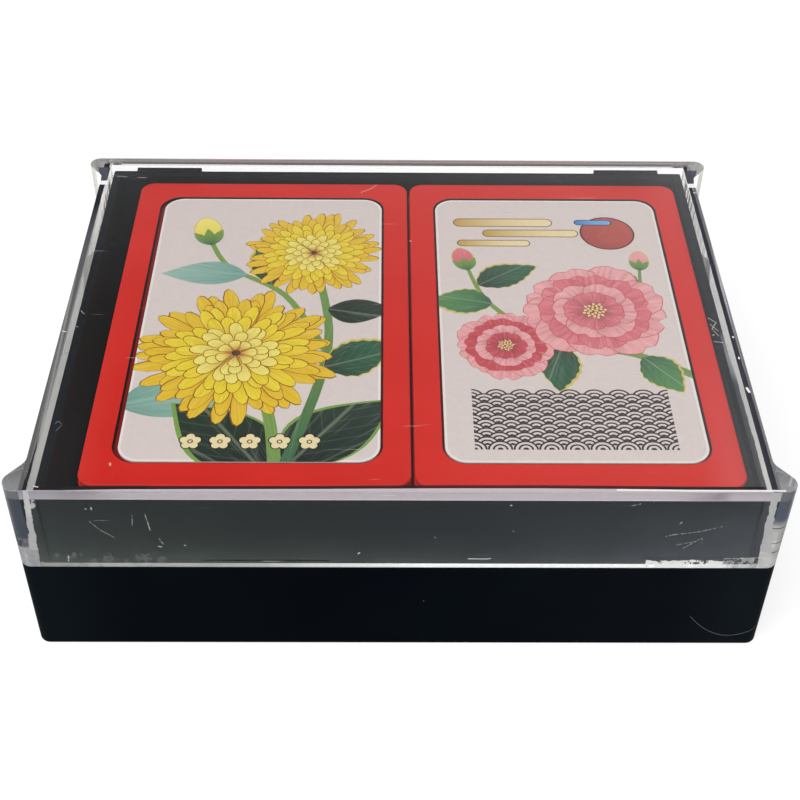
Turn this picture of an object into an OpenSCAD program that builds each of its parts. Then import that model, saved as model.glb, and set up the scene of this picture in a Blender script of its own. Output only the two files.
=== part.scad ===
// Two decks of flower cards, side by side in a black base under a clear cover.
// X runs left to right, Y front to back and Z up. The origin is at the middle
// of the case's outline, on the surface that the case stands on.

/* [Playing cards] */
// Width of a card
card_w = 35; // [32:0.5:38]
// Length of a card
card_l = 55.4; // [51:0.2:60]
// Thickness of a card
card_t = 0.82; // [0.7:0.02:1]
// Radius of a card's corners, seen from above
card_corner_r = 1.8; // [1:0.1:2.6]
// Radius of the softened edge all round a card
card_edge_r = 0.2; // [0.1:0.05:0.3]
// Width of the raised frame on either side of the picture
frame_side_w = 3.1; // [2.4:0.1:4]
// Width of the raised frame at the ends of the picture
frame_end_w = 3.35; // [2.4:0.05:4.4]
// Radius of the corners of the frame's window
window_corner_r = 2.6; // [1.6:0.1:3.6]
// How far a picture lies below its frame
picture_setback = 0.08; // [0.04:0.01:0.12]

/* [Title cards] */
// Depth of the pocket that a title picture lies in
pocket_depth = 0.3; // [0.2:0.02:0.4]
// Gap between a title picture and its frame
picture_gap = 0.2; // [0.1:0.05:0.4]
// How much narrower the left title picture is cut, along its left edge
left_picture_trim = 0.35; // [0:0.05:0.8]

/* [Decks in the tray] */
// Gap between the two decks
deck_gap = 0.35; // [0.3:0.05:1]
// Free space between the left deck and the tray wall
left_play = 2.95; // [0.3:0.05:4]
// Free space between the right deck and the tray wall
right_play = 0.3; // [0.2:0.05:2]
// Free space in front of the decks, and the same behind them
end_play = 1.1; // [0.3:0.1:2]
// How far out of line the cards of a deck may lie
stack_shuffle = 0.08; // [0:0.01:0.1]

/* [Base] */
// Height of the shoulder that the cover stands on
shoulder_h = 13.1; // [9:0.1:17]
// Height of the tray floor above the standing surface
tray_floor = 1.55; // [1.2:0.05:2.5]
// Thickness of the lip that the cover slips over
lip_wall = 1; // [0.8:0.05:1.6]
// Radius of the lip's outer corners
lip_corner_r = 0.3; // [0.2:0.1:1.8]
// Radius of the tray's inner corners
tray_corner_r = 0.3; // [0.2:0.1:1]
// Height of the rim above the top of the decks
rim_rise = 0.45; // [0.2:0.05:1.5]
// Radius of the upright outer corners, shared with the cover's ears
corner_r = 1.3; // [1.25:0.05:1.8]
// Radius of the rounded bottom edge
bottom_edge_r = 0.3; // [0.2:0.1:1.2]
// Width of the flat ring that the base stands on
foot_ring_w = 2; // [1.2:0.1:3]
// Depth of the hollow inside that ring
foot_hollow = 0.3; // [0.1:0.05:0.5]

/* [Tabs on the rim] */
// Width of a tab
tab_w = 8.5; // [6:0.5:11]
// Height of a tab above the rim
tab_h = 0.55; // [0.3:0.05:1]
// Distance of a tab's middle from the middle of the case
tab_reach = 30.4; // [24:0.2:31]

/* [Cover] */
// Thickness of the cover's walls
cover_wall = 0.6; // [0.5:0.05:1.4]
// Thickness of the cover's flat top
cover_top = 1.65; // [1.2:0.05:2.4]
// Gap between the cover and the lip, in front and behind
fit_gap = 0.1; // [0.05:0.05:0.2]
// Gap between the cover and the lip, at the left and at the right
side_gap = 0.4; // [0.1:0.05:0.6]
// Gap under the cover's lower edge
seat_gap = 0.1; // [0.05:0.05:0.2]
// Gap between the tabs and the cover's top
tab_headroom = 0.3; // [0.1:0.05:1]
// How far the cover's sides are set in between the ears
scoop_depth = 1.9; // [1.4:0.1:3]
// Length of an ear, front to back
ear_l = 4.1; // [3.4:0.1:6]
// Radius of the inward curve where an ear leaves the side
ear_root_r = 1.6; // [0.4:0.1:2.4]
// Size of the sloping lead-in around the cover's mouth
lead_in = 0.3; // [0.2:0.05:0.6]

/* [Hidden] */
$fn = 96;
// Overrun that lets a cut pass cleanly through a face
overrun = 0.5;
// Turn between the offsets of one card and the next, in degrees
shuffle_turn = 137.5;

// The suits, lowest first, and how many cards each has
left_suits = ["peony", "iris", "wisteria", "cherry", "plum", "pine"];
right_suits = ["paulownia", "willow", "maple", "chrysanthemum", "pampas", "clover"];
cards_per_suit = 4;
deck_cards = len(left_suits) * cards_per_suit;

// The tray is the two decks and the space around them
tray_w = left_play + card_w + deck_gap + card_w + right_play;
tray_d = card_l + 2 * end_play;
left_deck_x = -tray_w / 2 + left_play + card_w / 2;
right_deck_x = left_deck_x + card_w + deck_gap;
title_z = tray_floor + deck_cards * card_t;
rim_z = title_z + card_t + rim_rise;

// The lip goes round the tray, and the cover round the lip
lip_w = tray_w + 2 * lip_wall;
lip_d = tray_d + 2 * lip_wall;
mouth_w = lip_w + 2 * side_gap;
mouth_d = lip_d + 2 * fit_gap;
mouth_corner_r = lip_corner_r + fit_gap;
cover_side_w = mouth_w + 2 * cover_wall;
case_w = cover_side_w + 2 * scoop_depth;
case_d = mouth_d + 2 * cover_wall;
cover_z = shoulder_h + seat_gap;
ceiling_z = rim_z + tab_h + tab_headroom;
case_h = ceiling_z + cover_top;

// The picture windows
window_w = card_w - 2 * frame_side_w;
window_l = card_l - 2 * frame_end_w;
title_picture_t = pocket_depth - picture_setback;

// An ear runs straight from its root on the side to a tangent of the corner
ear_centre = [case_w / 2 - corner_r, case_d / 2 - corner_r];
ear_root = [cover_side_w / 2, case_d / 2 - ear_l];
ear_span = ear_centre - ear_root;
ear_slope = atan2(ear_span.y, ear_span.x) - asin(corner_r / norm(ear_span));
ear_way = [cos(ear_slope), sin(ear_slope)];
ear_tip = ear_root + sqrt(norm(ear_span) ^ 2 - corner_r ^ 2) * ear_way;

function card_name(suit, n) = str(suit, "_card_", n);

// Small offset of a card in its deck, different for each card
function shuffled(place, phase) = stack_shuffle * sin(shuffle_turn * place + phase);

module rounded_rect(w, d, r) {
    square([w, d - 2 * r], center = true);
    square([w - 2 * r, d], center = true);
    for (x = [-1, 1], y = [-1, 1])
        translate([x * (w / 2 - r), y * (d / 2 - r)])
            circle(r);
}

// Quarter of a disc, to the right of its centre and below it
module lower_quarter(r) {
    intersection() {
        circle(r);
        translate([0, -r])
            square(r);
    }
}

// Section of a slab from its corner's axis outwards, with rounded lower and upper edges
module slab_section(reach, h, lower_r, upper_r) {
    translate([0, lower_r])
        square([reach, h - lower_r - upper_r]);
    if (lower_r > 0) {
        square([reach - lower_r, lower_r]);
        translate([reach - lower_r, lower_r])
            lower_quarter(lower_r);
    }
    if (upper_r > 0) {
        translate([0, h - upper_r])
            square([reach - upper_r, upper_r]);
        translate([reach - upper_r, h - upper_r])
            mirror([0, 1])
                lower_quarter(upper_r);
    }
}

// Slab with rounded upright corners whose lower and upper edges are rounded too
module soft_slab(w, d, h, r, lower_r, upper_r) {
    flat = [w - 2 * r, d - 2 * r];
    translate([-flat.x / 2, -flat.y / 2, 0])
        cube([flat.x, flat.y, h]);
    for (quarter = [0:3]) {
        run = quarter % 2 == 0 ? flat.y : flat.x;
        reach = quarter % 2 == 0 ? flat.x / 2 : flat.y / 2;
        rotate(90 * quarter)
            translate([reach, run / 2, 0]) {
                rotate([90, 0, 0])
                    linear_extrude(run)
                        slab_section(r, h, lower_r, upper_r);
                rotate_extrude(angle = 90)
                    slab_section(r, h, lower_r, upper_r);
            }
    }
}

module case_base() {
    color([0.04, 0.05, 0.07])
        difference() {
            union() {
                soft_slab(case_w, case_d, shoulder_h, corner_r, bottom_edge_r, 0);
                translate([0, 0, shoulder_h])
                    linear_extrude(rim_z - shoulder_h)
                        rounded_rect(lip_w, lip_d, lip_corner_r);
                rim_tabs();
            }
            translate([0, 0, tray_floor])
                linear_extrude(ceiling_z - tray_floor)
                    rounded_rect(tray_w, tray_d, tray_corner_r);
            foot_hollow_cut();
        }
}

// Four low tabs stand on the rim, two in front and two behind
module rim_tabs() {
    for (x = [-1, 1], y = [-1, 1])
        translate([x * tab_reach, y * (lip_d - lip_wall) / 2, rim_z + tab_h / 2])
            cube([tab_w, lip_wall, tab_h], center = true);
}

module foot_hollow_cut() {
    inset = 2 * (bottom_edge_r + foot_ring_w);
    translate([0, 0, -overrun])
        linear_extrude(foot_hollow + overrun)
            rounded_rect(case_w - inset, case_d - inset, corner_r);
}

module clear_cover() {
    color([0.9, 0.94, 0.95, 0.35])
        difference() {
            translate([0, 0, cover_z])
                linear_extrude(case_h - cover_z)
                    cover_outline();
            translate([0, 0, cover_z - overrun])
                linear_extrude(ceiling_z - cover_z + overrun)
                    rounded_rect(mouth_w, mouth_d, mouth_corner_r);
            translate([0, 0, cover_z])
                mouth_funnel();
        }
}

module cover_outline() {
    square([cover_side_w, case_d], center = true);
    for (x = [0, 1], y = [0, 1])
        mirror([x, 0])
            mirror([0, y])
                ear();
}

// The ear at the right back corner, flush with the base's corner
module ear() {
    translate(ear_centre)
        circle(corner_r);
    polygon([
        ear_root,
        ear_tip,
        ear_centre,
        [ear_centre.x, case_d / 2],
        [ear_root.x, case_d / 2]
    ]);
    ear_root_fillet();
}

// The hollow curve between the cover's side and an ear
module ear_root_fillet() {
    opening = 90 + ear_slope;
    toward_middle = [0, -1];
    bisector = (toward_middle + ear_way) / norm(toward_middle + ear_way);
    touch = ear_root_r / tan(opening / 2);
    fillet_centre = ear_root + ear_root_r / sin(opening / 2) * bisector;
    inside_wall = ear_root - cover_wall * bisector;
    difference() {
        polygon([
            inside_wall,
            ear_root + touch * toward_middle,
            fillet_centre,
            ear_root + touch * ear_way
        ]);
        translate(fillet_centre)
            circle(ear_root_r);
    }
}

// The sloping lead-in widens the cover's mouth towards its lower edge
module mouth_funnel() {
    intersection() {
        rotate([90, 0, 0])
            linear_extrude(case_d, center = true)
                funnel_section(mouth_w);
        rotate([90, 0, 90])
            linear_extrude(case_w, center = true)
                funnel_section(mouth_d);
    }
}

module funnel_section(w) {
    wide = w / 2 + lead_in + overrun;
    polygon([[-wide, -overrun], [wide, -overrun], [w / 2, lead_in], [-w / 2, lead_in]]);
}

// A card with a framed window sunk into its upper face
module framed_card(window_depth) {
    color([0.83, 0.16, 0.13])
        difference() {
            soft_slab(card_w, card_l, card_t, card_corner_r, card_edge_r, card_edge_r);
            translate([0, 0, card_t - window_depth])
                linear_extrude(window_depth + overrun)
                    rounded_rect(window_w, window_l, window_corner_r);
        }
}

// A card at its place in a deck, counted from the bottom
module playing_card(deck_x, place) {
    translate([
        deck_x + shuffled(place, 0),
        shuffled(place, 90),
        tray_floor + place * card_t
    ])
        framed_card(picture_setback);
}

module title_card(deck_x) {
    translate([deck_x, 0, title_z])
        framed_card(pocket_depth);
}

// A printed panel that lies in a title card's pocket, cut narrower along its left edge
module title_picture(deck_x, trim) {
    picture_w = window_w - 2 * picture_gap - trim;
    picture_l = window_l - 2 * picture_gap;
    translate([deck_x + trim / 2, 0, title_z + card_t - pocket_depth])
        color([0.85, 0.81, 0.79])
            linear_extrude(title_picture_t)
                rounded_rect(picture_w, picture_l, window_corner_r - picture_gap);
}

case_base();
clear_cover();
title_card(left_deck_x);  // left_title_card
title_picture(left_deck_x, left_picture_trim);  // left_title_picture
title_card(right_deck_x);  // right_title_card
title_picture(right_deck_x, 0);  // right_title_picture
for (s = [0:len(left_suits) - 1], n = [1:cards_per_suit])
    playing_card(left_deck_x, cards_per_suit * s + n - 1);
for (s = [0:len(right_suits) - 1], n = [1:cards_per_suit])
    playing_card(right_deck_x, cards_per_suit * s + n - 1);
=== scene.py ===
"""Two decks of flower cards in a black base under a clear cover: looks, light and camera."""

import math
import random
from functools import partialmethod, reduce
from operator import or_

import bmesh
import bpy
from mathutils import Matrix, Vector
from mathutils.geometry import delaunay_2d_cdt


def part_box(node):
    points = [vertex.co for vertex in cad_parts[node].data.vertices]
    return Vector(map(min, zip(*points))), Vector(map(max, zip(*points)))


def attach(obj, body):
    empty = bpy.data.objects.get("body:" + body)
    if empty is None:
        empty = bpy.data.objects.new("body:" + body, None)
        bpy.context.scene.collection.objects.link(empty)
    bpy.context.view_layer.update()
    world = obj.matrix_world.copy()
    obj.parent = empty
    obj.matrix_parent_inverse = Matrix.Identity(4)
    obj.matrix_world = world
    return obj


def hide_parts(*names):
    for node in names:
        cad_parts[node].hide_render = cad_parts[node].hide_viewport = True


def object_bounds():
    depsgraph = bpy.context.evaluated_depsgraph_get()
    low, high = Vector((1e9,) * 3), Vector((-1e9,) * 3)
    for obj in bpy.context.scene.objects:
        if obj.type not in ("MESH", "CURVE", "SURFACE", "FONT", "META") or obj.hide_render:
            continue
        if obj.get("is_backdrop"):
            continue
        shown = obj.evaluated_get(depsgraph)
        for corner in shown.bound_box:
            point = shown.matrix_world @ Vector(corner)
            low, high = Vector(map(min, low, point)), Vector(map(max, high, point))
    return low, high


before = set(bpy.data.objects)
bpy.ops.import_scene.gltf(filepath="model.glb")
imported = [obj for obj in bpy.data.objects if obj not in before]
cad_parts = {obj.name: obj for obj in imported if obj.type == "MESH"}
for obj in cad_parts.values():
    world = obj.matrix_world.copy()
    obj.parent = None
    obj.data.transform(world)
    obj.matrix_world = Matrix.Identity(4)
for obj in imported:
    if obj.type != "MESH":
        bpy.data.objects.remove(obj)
cad_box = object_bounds()
MM = 0.001

# Ramps over the case run over these widths, in millimetres, with their middle at 0.5
ACROSS, ALONG = 80, 60

# The hair that lies in a shallow curve on the base's front
HAIR_LOWEST = (37.2 * MM, 1.6 * MM)
HAIR_BEND = 0.15
HAIR_MIDDLE, HAIR_REACH = 36.3 * MM, 3.9 * MM

# Light: what the floor gives to the camera and to reflections, the even room, and the lamp
FLOOR_GLOW = 0.72
FRONT_GLOW, BACK_GLOW, RIGHT_GLOW = 0.05, 1.15, 0.05
COOL, WARM = (0.82, 0.97, 1.06), (1.0, 0.99, 0.96)
ROOM_LIGHT = 0.55
LAMP_POWER = 7.0
LAMP_PLACE = Vector((-0.25, -0.45, 0.75))
FLOOR_REACH = 4.0

# Camera, fitted to the straight edges of the case
CAMERA_PLACE = (-1.81, -129.64, 128.86)
CAMERA_YAW, CAMERA_PITCH, CAMERA_ROLL = 0.905, 42.628, 0.822
FOCAL_PIXELS = 1410.36
PHOTO_PIXELS = 800
SENSOR = 36.0


def put(name, data):
    """An object in the scene that shows that mesh, lamp or camera."""
    made = bpy.data.objects.new(name, data)
    bpy.context.scene.collection.objects.link(made)
    return made


def place_camera():
    """The camera looks down from the front, turned and rolled a little."""
    yaw, pitch, roll = (math.radians(a) for a in (CAMERA_YAW, CAMERA_PITCH, CAMERA_ROLL))
    ahead = Vector((math.sin(yaw) * math.cos(pitch), math.cos(yaw) * math.cos(pitch), -math.sin(pitch)))
    level = Vector((math.cos(yaw), -math.sin(yaw), 0))
    above = level.cross(ahead)
    right = math.cos(roll) * level + math.sin(roll) * above
    up = math.cos(roll) * above - math.sin(roll) * level
    data = bpy.data.cameras.new("camera")
    data.sensor_width = SENSOR
    data.lens = FOCAL_PIXELS * SENSOR / PHOTO_PIXELS
    data.clip_start, data.clip_end = 10 * MM, 20
    camera = put("camera", data)
    turned = Matrix((right, up, -ahead)).transposed().to_4x4()
    camera.matrix_world = Matrix.Translation(Vector(CAMERA_PLACE) * MM) @ turned
    bpy.context.scene.camera = camera


class Value:
    """A socket whose numbers can be added, multiplied and compared with Python's operators."""

    def __init__(self, finish, socket):
        self.finish, self.socket = finish, socket

    def work(self, operation, *others):
        return self.finish.add("Math", {"operation": operation}, dict(enumerate((self, *others))))

    __add__ = __radd__ = partialmethod(work, "ADD")
    __mul__ = __rmul__ = partialmethod(work, "MULTIPLY")
    __sub__ = partialmethod(work, "SUBTRACT")
    __truediv__ = partialmethod(work, "DIVIDE")
    __pow__ = partialmethod(work, "POWER")
    __abs__ = partialmethod(work, "ABSOLUTE")
    __gt__ = partialmethod(work, "GREATER_THAN")
    __lt__ = partialmethod(work, "LESS_THAN")
    __or__ = partialmethod(work, "MAXIMUM")

    def __rsub__(self, other):
        return self * -1 + other

    def clamped(self):
        return self.work("MINIMUM", 1.0) | 0.0

    def inside(self, low, high):
        """One between two values, and nought beyond them."""
        return (self > low) * (self < high)


class Finish:
    """A material or world made of nodes."""

    def __init__(self, name, world=False):
        self.data = (bpy.data.worlds if world else bpy.data.materials).new(name)
        self.data.use_nodes = True
        self.tree = self.data.node_tree
        self.tree.nodes.clear()

    def add(self, kind, settings=None, inputs=None, output=0):
        """A node of that kind. Its settings are set first, then its sockets get values or links."""
        node = self.tree.nodes.new("ShaderNode" + kind)
        for name, value in (settings or {}).items():
            setattr(node, name, value)
        for name, value in (inputs or {}).items():
            socket = node.inputs[name]
            if isinstance(value, Value):
                self.tree.links.new(value.socket, socket)
            else:
                socket.default_value = value
        return Value(self, node.outputs[output]) if node.outputs else node

    def other(self, value, output):
        """Another output of the node that a value comes from."""
        return Value(self, value.socket.node.outputs[output])

    def coordinates(self):
        return self.add("TexCoord", output="Object")

    def axes(self, vector):
        """The three parts of a vector."""
        first = self.add("SeparateXYZ", None, {0: vector})
        return first, self.other(first, 1), self.other(first, 2)

    def vector(self, operation, *values, output=0):
        return self.add("VectorMath", {"operation": operation}, dict(enumerate(values)), output)

    def joined(self, *parts):
        """The vector of two or three numbers."""
        return self.add("CombineXYZ", None, dict(enumerate(parts)))

    def off_line(self, place, start, end):
        """How far a flat place lies from the line between two points."""
        way = Vector((*end, 0)) - Vector((*start, 0))
        from_start = self.vector("SUBTRACT", place, (*start, 0))
        share = self.vector("DOT_PRODUCT", from_start, tuple(way / way.length_squared), output=1).clamped()
        return self.vector("DISTANCE", from_start, self.joined(share * way.x, share * way.y), output=1)

    def specks(self, vector, spacing, size, share):
        """Small round specks, one to a cell of the spacing, in that share of the cells."""
        cells = self.add("TexVoronoi", None, {"Vector": vector, "Scale": 1 / spacing})
        chance, _, _ = self.axes(self.other(cells, 1))
        return (cells < size / spacing) * (chance < share)

    def moved(self, vector, scale, turn=(0, 0, 0)):
        return self.add("Mapping", None, {"Vector": vector, "Rotation": turn, "Scale": scale})

    def noise(self, vector, scale, detail, roughness=0.5):
        return self.add("TexNoise", None, {
            "Vector": vector, "Scale": scale, "Detail": detail, "Roughness": roughness, "Distortion": 0.0})

    def ramp(self, value, *stops, interpolation="LINEAR"):
        """A colour that follows a value from stop to stop."""
        made = self.add("ValToRGB", None, {"Fac": value})
        ramp = made.socket.node.color_ramp
        ramp.interpolation = interpolation
        while len(ramp.elements) < len(stops):
            ramp.elements.new(0.5)
        for element, (place, colour) in zip(ramp.elements, stops):
            element.position, element.color = place, self.colour(colour)
        return made

    def colour(self, value):
        """A colour as a socket takes it. A single number stands for a gray."""
        if isinstance(value, Value):
            return value
        return (*value, 1) if isinstance(value, tuple) else (value, value, value, 1)

    def blend(self, share, first, second, mode="MIX"):
        """A mix of two colours."""
        made = self.add("Mix", {"data_type": "RGBA", "blend_type": mode},
                        {0: share, 6: self.colour(first), 7: self.colour(second)})
        return self.other(made, 2)

    def bump(self, height, depth, strength):
        return self.add("Bump", None, {"Height": height, "Distance": depth, "Strength": strength})

    def principled(self, **inputs):
        named = {name.replace("_", " "): value for name, value in inputs.items()}
        return self.add("BsdfPrincipled", None, named)

    def mix_shaders(self, share, first, second):
        return self.add("MixShader", None, {0: share, 1: first, 2: second})

    def rays(self, *kinds):
        """One where the ray is of one of these kinds."""
        path = self.add("LightPath")
        return reduce(or_, [self.other(path, f"Is {kind} Ray") for kind in kinds])

    def done(self, surface, kind="OutputMaterial"):
        self.add(kind, None, {"Surface": surface})
        return self.data


def black_plastic():
    """Black moulded plastic with faint clouds of blue and green, a painted sheen toward its ends, dust, and
    one hair on its front.
    """
    f = Finish("black_plastic")
    here = f.coordinates()
    across, along, upward = f.axes(here)
    cloud = f.noise(here, 60, 3)
    base = f.ramp(cloud, (0.3, (0.0010, 0.0018, 0.0038)), (0.55, (0.0016, 0.0022, 0.0046)),
                  (0.75, (0.0014, 0.0044, 0.0044)))
    # Painted sheen: the black grows lighter and bluer toward both ends of the case, most at the right
    painted_sheen_toward_ends = f.ramp(across * (1 / (ACROSS * MM)) + 0.5, (0.02, (0.0030, 0.0055, 0.0064)),
                         (0.14, (0.0008, 0.0014, 0.0018)), (0.5, (0.0003, 0.0008, 0.0012)),
                         (0.88, (0.0022, 0.0034, 0.0042)), (0.96, (0.0048, 0.0072, 0.0080)))
    base = f.vector("ADD", base, painted_sheen_toward_ends)
    dust = f.specks(here, 6 * MM, 0.09 * MM, 0.5)
    off_lowest = across - HAIR_LOWEST[0]
    curve = off_lowest * off_lowest * (HAIR_BEND / MM) + HAIR_LOWEST[1]
    hair = (abs(upward - curve) < 0.035 * MM) * (abs(across - HAIR_MIDDLE) < HAIR_REACH) * (along < 0.0)
    base = f.blend(dust * 0.6, base, (0.16, 0.17, 0.17))
    base = f.blend(hair * 0.8, base, (0.19, 0.23, 0.24))
    return f.done(f.principled(
        Base_Color=base, Roughness=0.24 + cloud * 0.14, Specular_IOR_Level=0.03,
        Normal=f.bump(f.noise(here, 2600, 2), 0.004 * MM, 0.4)))


# Marks on the cover, each a line: both its ends, then half its width, in millimetres.
# Fine scratches on the front, with places across and up
FRONT_SCRATCHES = (
    (-26.4, 21.6, -26.1, 19.0, 0.05), (-32.3, 20.4, -31.3, 19.0, 0.025), (-31.3, 19.0, -30.0, 17.9, 0.03),
    (-27.7, 21.5, -27.9, 19.6, 0.025), (-31.8, 22.5, -31.8, 22.1, 0.08), (-32.5, 22.3, -32.3, 22.2, 0.06),
    (-25.3, 17.7, -24.9, 16.7, 0.035), (-25.5, 16.5, -25.2, 16.4, 0.07), (-22.8, 16.7, -22.6, 16.6, 0.06),
    (-35.2, 14.9, -35.3, 14.1, 0.07), (33.6, 19.8, 31.4, 19.0, 0.03), (31.4, 19.0, 28.6, 18.5, 0.045),
    (28.6, 18.5, 27.6, 18.1, 0.03), (31.7, 18.2, 31.9, 17.2, 0.035), (31.6, 17.9, 30.0, 16.4, 0.03),
    (31.2, 17.5, 29.2, 16.9, 0.025), (29.3, 20.5, 29.0, 20.1, 0.05), (23.6, 22.9, 24.6, 23.2, 0.06),
    (34.5, 14.7, 38.3, 14.9, 0.045),
)
# Chips on the front, brighter than the scratches
FRONT_CHIPS = (
    (7.3, 14.61, 7.85, 14.61, 0.06), (7.95, 14.6, 9.3, 14.59, 0.055), (9.3, 14.6, 9.65, 14.69, 0.05),
    (-4.45, 15.4, -4.3, 15.56, 0.07), (11.3, 22.93, 11.38, 22.93, 0.07), (3.64, 17.99, 3.7, 17.99, 0.035),
    (11.78, 18.99, 11.84, 18.99, 0.03),
)
# Lint and short scratches on the top, with places across and along
TOP_MARKS = (
    (-4.83, 22.79, -3.8, 23.48, 0.05), (-3.8, 23.48, -3.29, 23.94, 0.05),
    (-3.29, 23.94, -2.77, 24.64, 0.04), (-30.07, -26.64, -30.02, -26.9, 0.10),
    (35.94, -2.52, 36.74, -3.34, 0.05), (36.74, -3.34, 36.07, -4.52, 0.05),
    (36.07, -4.52, 36.66, -5.77, 0.04), (35.99, -3.62, 36.7, -4.88, 0.04),
    (35.92, -6.75, 36.92, -6.92, 0.05), (36.0, -5.6, 36.1, -5.6, 0.09), (38.25, -5.9, 38.25, -6.0, 0.10),
    (38.26, -9.5, 38.26, -9.75, 0.09), (38.2, -14.66, 38.35, -15.3, 0.14),
    (-37.05, -1.64, -36.6, -2.28, 0.04), (-37.17, -4.47, -36.92, -4.65, 0.04),
    (-38.62, -5.37, -38.14, -5.5, 0.05), (-36.75, -20.78, -36.5, -20.35, 0.015),
    (-36.5, -20.35, -36.0, -20.8, 0.015), (-36.0, -21.0, -36.5, -21.8, 0.015),
    (-36.82, 26.28, -35.48, 26.1, 0.045), (-34.05, 26.0, -32.96, 25.9, 0.045),
    (-37.29, -29.96, -36.92, -30.03, 0.08), (1.4, 12.28, 1.5, 12.28, 0.09),
)


def clear_over(f, roughness, share, tone):
    """Clear polystyrene under a layer of that share and tone, which holds scuffs and dust and also painted
    light and shade. Light goes straight on through it.
    """
    glass = f.principled(
        Base_Color=(0.985, 0.985, 1.0, 1), Roughness=roughness, IOR=1.57, Transmission_Weight=1.0)
    # This layer carries the painted light and shade as well as the scuffs
    scuffs_and_painted_light = f.principled(Base_Color=tone, Roughness=0.7, Specular_IOR_Level=0.3)
    clear = f.add("BsdfTransparent", None, {"Color": (0.93, 0.935, 0.94, 1)})
    return f.done(f.mix_shaders(f.rays("Shadow", "Diffuse"), f.mix_shaders(share, glass, scuffs_and_painted_light), clear))


def drawn_lines(f, first, second, lines):
    """One on each of those lines, drawn on the plane of two axes."""
    place = f.joined(first * MM, second * MM)
    drawn = []
    for *ends, half in lines:
        x, y, end_x, end_y = (v * MM for v in ends)
        drawn.append(f.off_line(place, (x, y), (end_x, end_y)) < half * MM)
    return reduce(or_, drawn)


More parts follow.
